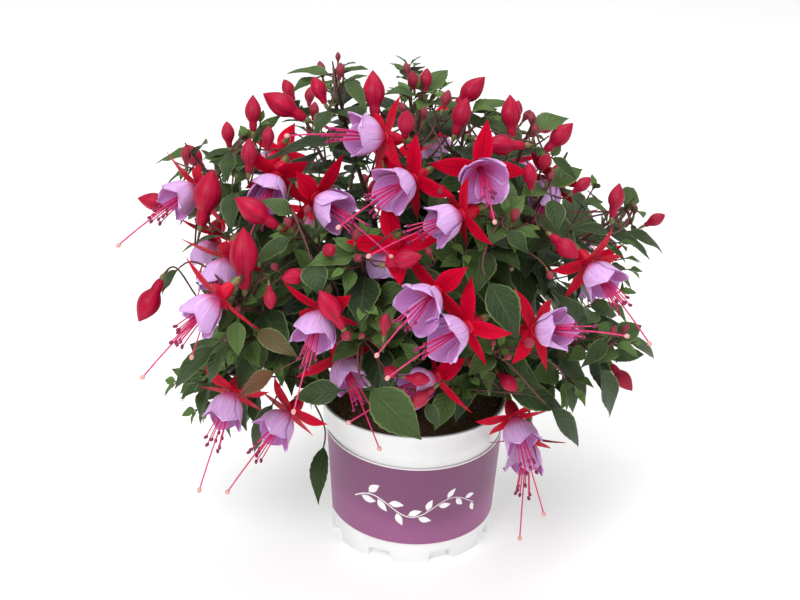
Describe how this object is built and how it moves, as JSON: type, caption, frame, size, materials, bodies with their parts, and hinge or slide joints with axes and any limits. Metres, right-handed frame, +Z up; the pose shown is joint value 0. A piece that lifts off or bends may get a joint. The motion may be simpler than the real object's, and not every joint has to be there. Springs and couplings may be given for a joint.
{
  "type": "potted fuchsia plant",
  "caption": "Bushy fuchsia in full flower, with red sepals and buds and lilac bell corollas over dark toothed leaves, in a round white nursery pot with a plain plum label.",
  "frame": {"origin": "middle of the pot's flat underside", "axes": "+Z up out of the pot, -Y towards the front that the label faces, +X to the right seen from the front"},
  "size_m": [0.3503, 0.3669, 0.3517],
  "materials": {
    "pot": "moulded, white outside and black inside",
    "label": "coated paper, plum",
    "soil": "moist potting compost",
    "leaf": "living leaf, satin, dark green",
    "sepal": "waxy petal, crimson",
    "corolla": "thin matt petal, lilac"
  },
  "bodies": {
    "root": {"pot": "pot", "label": "label", "soil": "soil", "corolla_left_top_1": "corolla", "flowers_left_top": "sepal", "corolla_left_shoulder_1": "corolla", "flowers_left_shoulder": "sepal", "corolla_crown_left_1": "corolla", "flowers_crown_left": "sepal", "corolla_crown_middle_1": "corolla", "flowers_crown_middle": "sepal", "corolla_crown_right_1": "corolla", "corolla_crown_right_2": "corolla", "flowers_crown_right": "sepal", "flowers_right_top": "sepal", "corolla_right_shoulder_1": "corolla", "flowers_right_shoulder": "sepal", "corolla_right_far_1": "corolla", "flowers_right_far": "sepal", "corolla_front_brow_1": "corolla", "flowers_front_brow": "sepal", "corolla_front_left_1": "corolla", "flowers_front_left": "sepal", "corolla_left_face_1": "corolla", "corolla_left_face_2": "corolla", "flowers_left_face": "sepal", "corolla_front_middle_1": "corolla", "corolla_front_middle_2": "corolla", "flowers_front_middle": "sepal", "corolla_front_right_1": "corolla", "corolla_front_right_2": "corolla", "corolla_front_right_3": "corolla", "flowers_front_right": "sepal", "corolla_rim_right_1": "corolla", "flowers_rim_right": "sepal", "corolla_right_low_1": "corolla", "corolla_right_low_2": "corolla", "flowers_right_low": "sepal", "corolla_left_low_1": "corolla", "corolla_left_low_2": "corolla", "flowers_left_low": "sepal", "corolla_left_back_1": "corolla", "flowers_left_back": "sepal", "corolla_back_left_1": "corolla", "corolla_back_left_2": "corolla", "flowers_back_left": "sepal", "corolla_back_low_1": "corolla", "flowers_back_low": "sepal", "corolla_back_right_1": "corolla", "corolla_back_right_2": "corolla", "flowers_back_right": "sepal", "corolla_back_middle_1": "corolla", "flowers_back_middle": "sepal", "corolla_right_back_1": "corolla", "flowers_right_back": "sepal", "leafy_stem_1": "leaf", "leafy_stem_2": "leaf", "leafy_stem_3": "leaf", "leafy_stem_4": "leaf", "leafy_stem_5": "leaf"}
  },
  "joints": []
}
